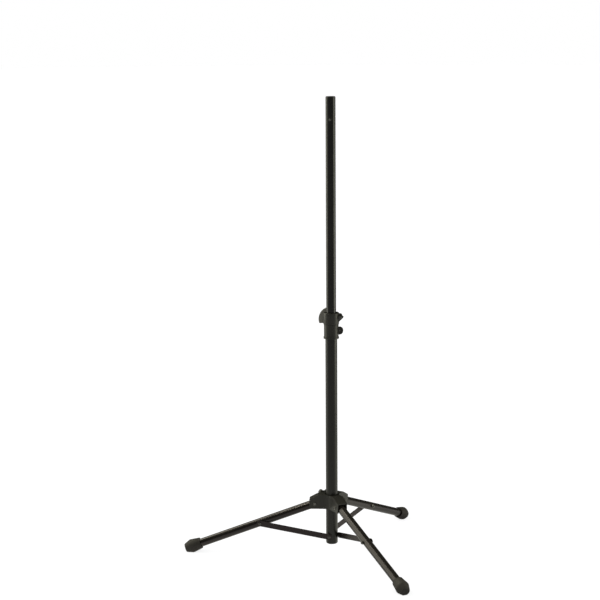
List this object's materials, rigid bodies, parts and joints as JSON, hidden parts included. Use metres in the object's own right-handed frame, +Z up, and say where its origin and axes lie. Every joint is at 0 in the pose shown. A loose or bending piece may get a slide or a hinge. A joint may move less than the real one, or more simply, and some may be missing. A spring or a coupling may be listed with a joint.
{
  "type": "studio monitor stand",
  "caption": "Black tripod stand for a studio monitor speaker: clamped telescopic pole, folding tube legs with flat braces, sliding hub, rubber feet.",
  "frame": {"origin": "on the floor, below the pole, on the pole's axis", "axes": "+Z up along the pole; -X along the left leg; the front leg points between +X and -Y"},
  "size_m": [0.8174, 0.9394, 1.65],
  "materials": {
    "lower_tube_paint": "semi-gloss black powder coat",
    "upper_tube_paint": "satin black powder coat",
    "leg_paint": "semi-gloss black powder coat",
    "brace_paint": "satin black powder coat",
    "hub_plastic": "fine-grained black nylon",
    "collar_plastic": "fine-grained black nylon",
    "lever_plastic": "matt black nylon",
    "knob_plastic": "matt black nylon",
    "plug_plastic": "matt black polyethylene",
    "liner_plastic": "smooth black acetal",
    "foot_rubber": "matt dark grey rubber",
    "fastener_steel": "black zinc plate",
    "rivet_steel": "dark zinc plate",
    "insert_brass": "turned brass"
  },
  "bodies": {
    "pole_base": {"lower_tube": "lower_tube_paint", "bottom_plug": "plug_plastic", "brace_pivot_screws": "fastener_steel", "brace_pivot_spacers": "plug_plastic", "clamp_collar": "collar_plastic", "clamp_liner": "liner_plastic", "clamp_nut": "fastener_steel", "collar_screw": "fastener_steel", "collar_screw_nut": "fastener_steel"},
    "glide": {"glide_bush": "liner_plastic"},
    "pole": {"upper_tube": "upper_tube_paint", "top_insert": "plug_plastic", "pole_screw": "fastener_steel"},
    "lever": {"clamp_lever": "lever_plastic", "clamp_bolt": "fastener_steel", "clamp_washer": "fastener_steel"},
    "hub_body": {"hub": "hub_plastic", "hub_bush": "liner_plastic", "leg_rivets": "rivet_steel", "lock_insert": "insert_brass"},
    "lock": {"lock_screw": "fastener_steel", "lock_knob": "knob_plastic"},
    "leg_left": {"leg_tube_left": "leg_paint", "leg_plug_left": "plug_plastic", "foot_left": "foot_rubber", "brace_nut_left": "fastener_steel"},
    "stay_left": {"brace_left": "brace_paint", "brace_bolt_left": "fastener_steel"},
    "leg_front": {"leg_tube_front": "leg_paint", "leg_plug_front": "plug_plastic", "foot_front": "foot_rubber", "brace_nut_front": "fastener_steel"},
    "stay_front": {"brace_front": "brace_paint", "brace_bolt_front": "fastener_steel"},
    "leg_rear": {"leg_tube_rear": "leg_paint", "leg_plug_rear": "plug_plastic", "foot_rear": "foot_rubber", "brace_nut_rear": "fastener_steel"},
    "stay_rear": {"brace_rear": "brace_paint", "brace_bolt_rear": "fastener_steel"}
  },
  "joints": [
    {"name": "hub_slide", "type": "slide", "parent": "pole_base", "child": "hub_body", "axis": [0, 0, 1], "range_m": [0, 0.3435]},
    {"name": "pole_slide", "type": "slide", "parent": "pole_base", "child": "glide", "axis": [0, 0, 1], "range_m": [-0.63, 0.05]},
    {"name": "pole_swivel", "type": "hinge", "parent": "glide", "child": "pole", "pos_m": [0, 0, 0.75], "axis": [0, 0, 1], "continuous": true},
    {"name": "clamp_turn", "type": "hinge", "parent": "pole_base", "child": "lever", "pos_m": [0.03125, 0.011, 0.8695], "axis": [0, 1, 0], "range_deg": [0, 170]},
    {"name": "lock_turn", "type": "hinge", "parent": "hub_body", "child": "lock", "pos_m": [-0.0225, 0.03897, 0.2035], "axis": [-0.5, 0.866, 0], "continuous": true},
    {"name": "leg_fold_left", "type": "hinge", "parent": "hub_body", "child": "leg_left", "pos_m": [-0.061, 0, 0.1865], "axis": [0, -1, 0], "range_deg": [0, 69.73]},
    {"name": "brace_fold_left", "type": "hinge", "parent": "pole_base", "child": "stay_left", "pos_m": [-0.00915, 0, 0.0665], "axis": [0, 1, 0], "range_deg": [0, 67.91]},
    {"name": "leg_fold_front", "type": "hinge", "parent": "hub_body", "child": "leg_front", "pos_m": [0.0305, -0.05283, 0.1865], "axis": [0.866, 0.5, 0], "range_deg": [0, 69.73]},
    {"name": "brace_fold_front", "type": "hinge", "parent": "pole_base", "child": "stay_front", "pos_m": [0.00458, -0.00792, 0.0665], "axis": [-0.866, -0.5, 0], "range_deg": [0, 67.91]},
    {"name": "leg_fold_rear", "type": "hinge", "parent": "hub_body", "child": "leg_rear", "pos_m": [0.0305, 0.05283, 0.1865], "axis": [-0.866, 0.5, 0], "range_deg": [0, 69.73]},
    {"name": "brace_fold_rear", "type": "hinge", "parent": "pole_base", "child": "stay_rear", "pos_m": [0.00458, 0.00792, 0.0665], "axis": [0.866, -0.5, 0], "range_deg": [0, 67.91]}
  ],
  "couplings": [
    {"joint": "leg_fold_left", "follows": "hub_slide", "rad_per_m": 3.5423},
    {"joint": "brace_fold_left", "follows": "hub_slide", "rad_per_m": 3.4498},
    {"joint": "leg_fold_front", "follows": "hub_slide", "rad_per_m": 3.5423},
    {"joint": "brace_fold_front", "follows": "hub_slide", "rad_per_m": 3.4498},
    {"joint": "leg_fold_rear", "follows": "hub_slide", "rad_per_m": 3.5423},
    {"joint": "brace_fold_rear", "follows": "hub_slide", "rad_per_m": 3.4498}
  ]
}
